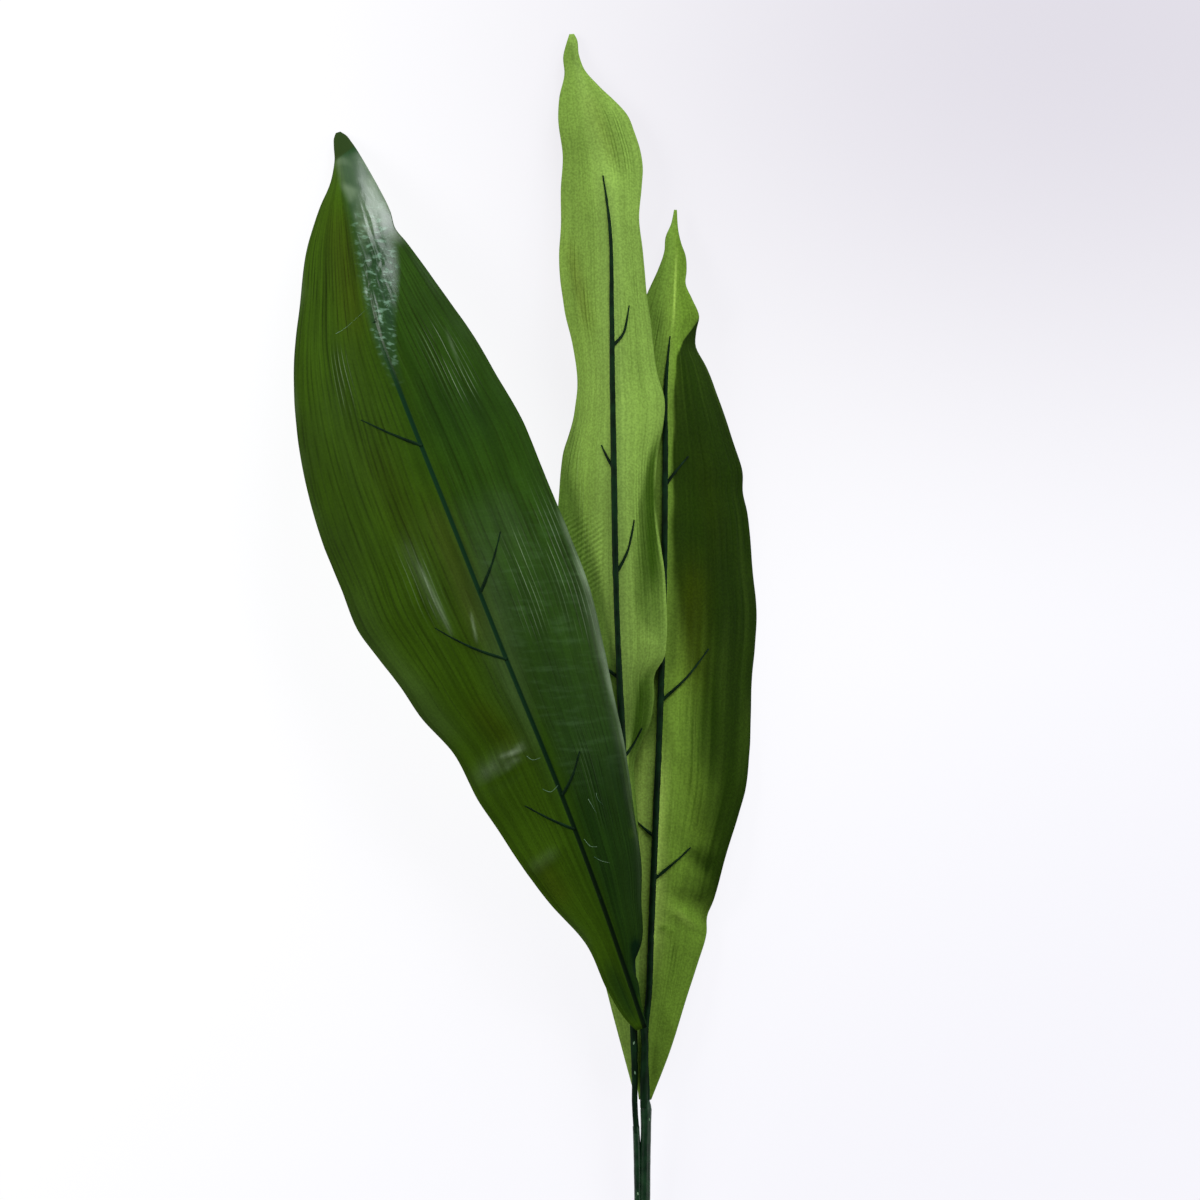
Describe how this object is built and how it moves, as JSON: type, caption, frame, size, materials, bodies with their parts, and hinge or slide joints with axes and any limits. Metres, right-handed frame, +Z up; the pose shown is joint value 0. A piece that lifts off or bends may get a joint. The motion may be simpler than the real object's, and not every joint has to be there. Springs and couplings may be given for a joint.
{
  "type": "aspidistra leaf spray",
  "caption": "Artificial aspidistra leaf spray for flower arranging: long lance-shaped cloth blades with moulded ribs on a cut stem, laid down on a flat surface.",
  "frame": {"origin": "middle of the bounding box, on the surface that the spray lies on", "axes": "+Y from the cut end of the stem towards the leaf tips, +Z up from the surface"},
  "size_m": [0.2319, 0.7003, 0.0686],
  "materials": {
    "blade_gloss": "glossy coated upper face",
    "blade_back": "matte back",
    "rib_plastic": "moulded, satin",
    "stem_plastic": "moulded, satin",
    "wire": "drawn wire"
  },
  "bodies": {
    "root": {"leaf_1_blade": "blade_gloss", "leaf_1_rib": "rib_plastic", "leaf_1_wire": "wire", "leaf_2_blade": "blade_back", "leaf_2_rib": "rib_plastic", "leaf_2_wire": "wire", "leaf_3_blade": "blade_back", "leaf_3_rib": "rib_plastic", "leaf_3_wire": "wire", "stem": "stem_plastic"}
  },
  "joints": []
}
